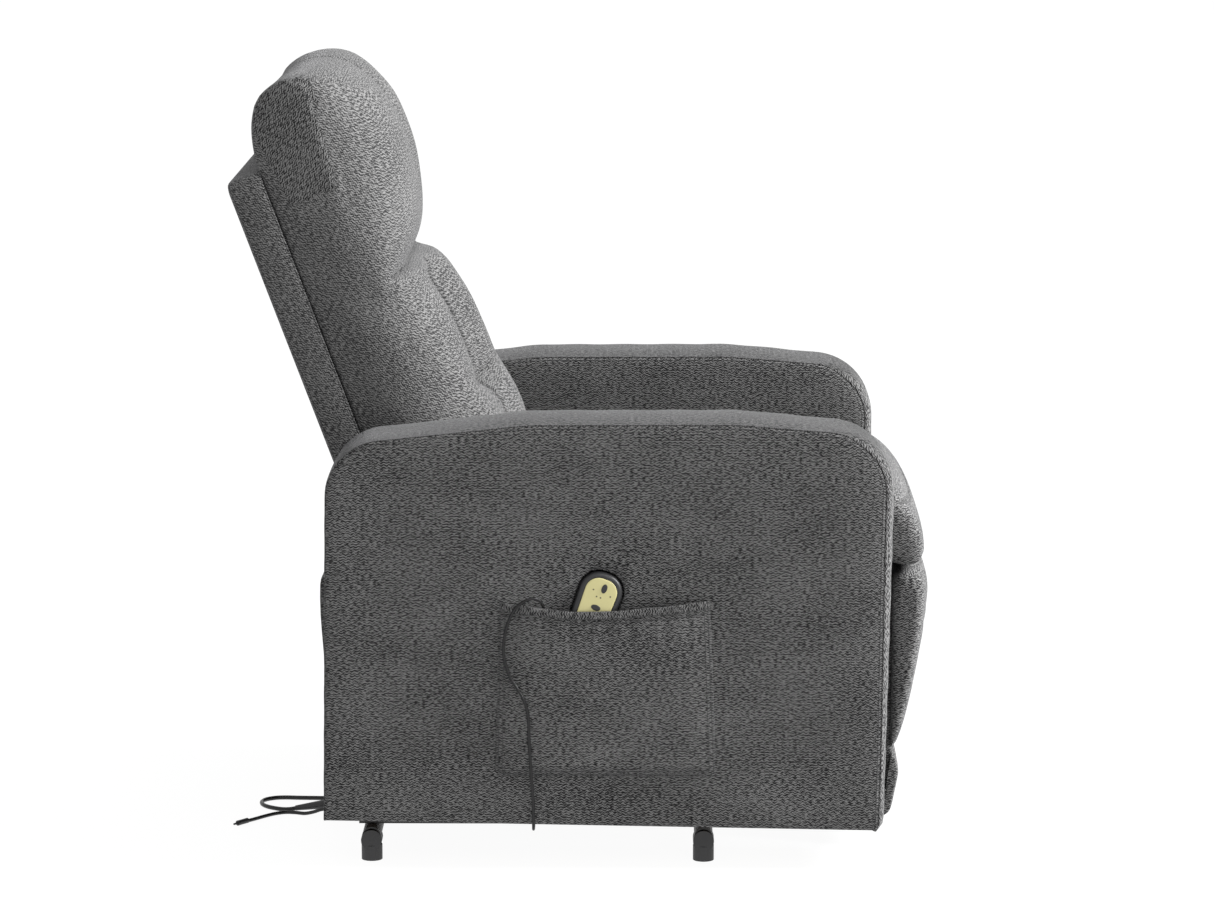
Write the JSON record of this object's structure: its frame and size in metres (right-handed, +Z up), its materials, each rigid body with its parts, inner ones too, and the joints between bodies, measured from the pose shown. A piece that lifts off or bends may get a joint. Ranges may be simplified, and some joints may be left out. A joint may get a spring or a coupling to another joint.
{
  "type": "lift recliner chair",
  "caption": "Upholstered powered recliner armchair that raises, tilts forward, reclines and lifts a footrest, on a tubular steel base with a corded hand control",
  "frame": {"origin": "on the floor at the middle of the footprint, chair down and upright", "axes": "+X the way the sitter faces, +Y to the sitter's left, +Z up"},
  "size_m": [0.9487, 0.7381, 1.0694],
  "materials": {
    "upholstery": "mid grey heathered woven chenille",
    "black_steel": "black powder coat",
    "bright_steel": "bright ground steel",
    "spring_steel": "oiled spring wire",
    "timber": "raw plywood and softwood",
    "black_plastic": "moulded black plastic",
    "cream_plastic": "satin cream overlay",
    "webbing": "elastic webbing",
    "cord_sheath": "satin black sheath",
    "glide_plastic": "moulded black plastic"
  },
  "bodies": {
    "base": {"base_cross_tubes": "black_steel", "base_side_rails": "black_steel", "base_pivot_brackets": "black_steel", "base_feet": "glide_plastic", "actuator_bracket": "black_steel", "power_bracket": "black_steel", "power_supply": "black_plastic", "mains_strain_relief": "black_plastic", "mains_cord": "cord_sheath", "mains_coil": "cord_sheath", "mains_plug": "black_plastic", "backup_lead": "cord_sheath", "backup_connector": "black_plastic"},
    "lift_arms": {"lift_links": "black_steel", "lift_cross_tube": "black_steel", "actuator_crank": "black_steel"},
    "lift_guides": {"lift_guide_links": "black_steel"},
    "actuator_body": {"actuator_gearbox": "black_plastic", "actuator_motor": "black_plastic", "actuator_tube": "black_plastic"},
    "actuator_ram": {"actuator_rod": "bright_steel"},
    "chassis": {"mech_plate_right": "black_steel", "mech_plate_left": "black_steel", "mech_cross_tubes": "black_steel", "seat_side_boards": "timber", "seat_front_board": "timber", "seat_rear_board": "timber", "seat_springs": "spring_steel", "seat_cushion": "upholstery", "control_box": "black_plastic", "arm_frames": "timber", "arm_outer_panel_right": "upholstery", "arm_inner_panel_right": "upholstery", "arm_band_right": "upholstery", "arm_outer_panel_left": "upholstery", "arm_inner_panel_left": "upholstery", "arm_band_left": "upholstery", "rear_skirt": "upholstery", "side_pocket": "upholstery", "handset_shell": "black_plastic", "handset_face": "cream_plastic", "handset_cord_gland": "black_plastic", "handset_cord": "cord_sheath"},
    "key_up": {"handset_button_up": "black_plastic"},
    "key_down": {"handset_button_down": "black_plastic"},
    "backrest": {"back_shell": "upholstery", "back_side_rails": "timber", "back_cross_rails": "timber", "back_webbing": "webbing", "back_brackets": "black_steel", "lumbar_cushion": "upholstery", "head_cushion": "upholstery"},
    "legrest_drive": {"legrest_drive_links": "black_steel", "legrest_drive_tube": "black_steel"},
    "legrest_guide": {"legrest_guide_links": "black_steel"},
    "legrest_outer": {"legrest_outer_links": "black_steel"},
    "footrest": {"footrest_board": "timber", "footrest_brackets": "black_steel", "footrest_pad": "upholstery", "footrest_roll": "upholstery"}
  },
  "joints": [
    {"name": "lift", "type": "hinge", "parent": "base", "child": "lift_arms", "pos_m": [0.11, 0, 0.17], "axis": [0, 1, 0], "range_deg": [0, 50]},
    {"name": "seat_tilt", "type": "hinge", "parent": "lift_arms", "child": "chassis", "pos_m": [-0.218, 0, 0.08], "axis": [0, 1, 0], "range_deg": [-26.1, 0]},
    {"name": "lift_guide", "type": "hinge", "parent": "base", "child": "lift_guides", "pos_m": [0.1662, 0, 0.1682], "axis": [0, 1, 0], "range_deg": [0, 58.8]},
    {"name": "actuator_pivot", "type": "hinge", "parent": "base", "child": "actuator_body", "pos_m": [-0.245, 0, 0.085], "axis": [0, 1, 0], "range_deg": [0, 7.6]},
    {"name": "actuator_stroke", "type": "slide", "parent": "actuator_body", "child": "actuator_ram", "axis": [0.8118, 0, 0.5839], "range_m": [0, 0.1053]},
    {"name": "recline", "type": "hinge", "parent": "chassis", "child": "backrest", "pos_m": [-0.25, 0, 0.34], "axis": [0, -1, 0], "range_deg": [0, 38]},
    {"name": "legrest", "type": "hinge", "parent": "chassis", "child": "legrest_drive", "pos_m": [0.34, 0, 0.27], "axis": [0, -1, 0], "range_deg": [0, 99]},
    {"name": "legrest_knee", "type": "hinge", "parent": "legrest_drive", "child": "legrest_outer", "pos_m": [0.215, 0, 0.115], "axis": [0, -1, 0], "range_deg": [-80.2, 0]},
    {"name": "footrest_tilt", "type": "hinge", "parent": "legrest_outer", "child": "footrest", "pos_m": [0.382, 0, 0.25], "axis": [0, -1, 0], "range_deg": [0, 67.2]},
    {"name": "legrest_guide_pivot", "type": "hinge", "parent": "chassis", "child": "legrest_guide", "pos_m": [0.371, 0, 0.299], "axis": [0, -1, 0], "range_deg": [0, 101]},
    {"name": "raise_key", "type": "slide", "parent": "chassis", "child": "key_up", "axis": [0, 1, 0], "range_m": [0, 0.0012], "stiffness_N_per_m": 400},
    {"name": "lower_key", "type": "slide", "parent": "chassis", "child": "key_down", "axis": [0, 1, 0], "range_m": [0, 0.0012], "stiffness_N_per_m": 400}
  ],
  "couplings": [
    {"joint": "seat_tilt", "follows": "lift", "ratio": -0.52},
    {"joint": "lift_guide", "follows": "lift", "ratio": 1.1734},
    {"joint": "actuator_pivot", "follows": "lift", "ratio": 0.15},
    {"joint": "actuator_stroke", "follows": "lift", "m_per_rad": 0.12045},
    {"joint": "legrest_knee", "follows": "legrest", "ratio": -0.8081},
    {"joint": "footrest_tilt", "follows": "legrest", "ratio": 0.6768},
    {"joint": "legrest_guide_pivot", "follows": "legrest", "ratio": 1.018}
  ]
}
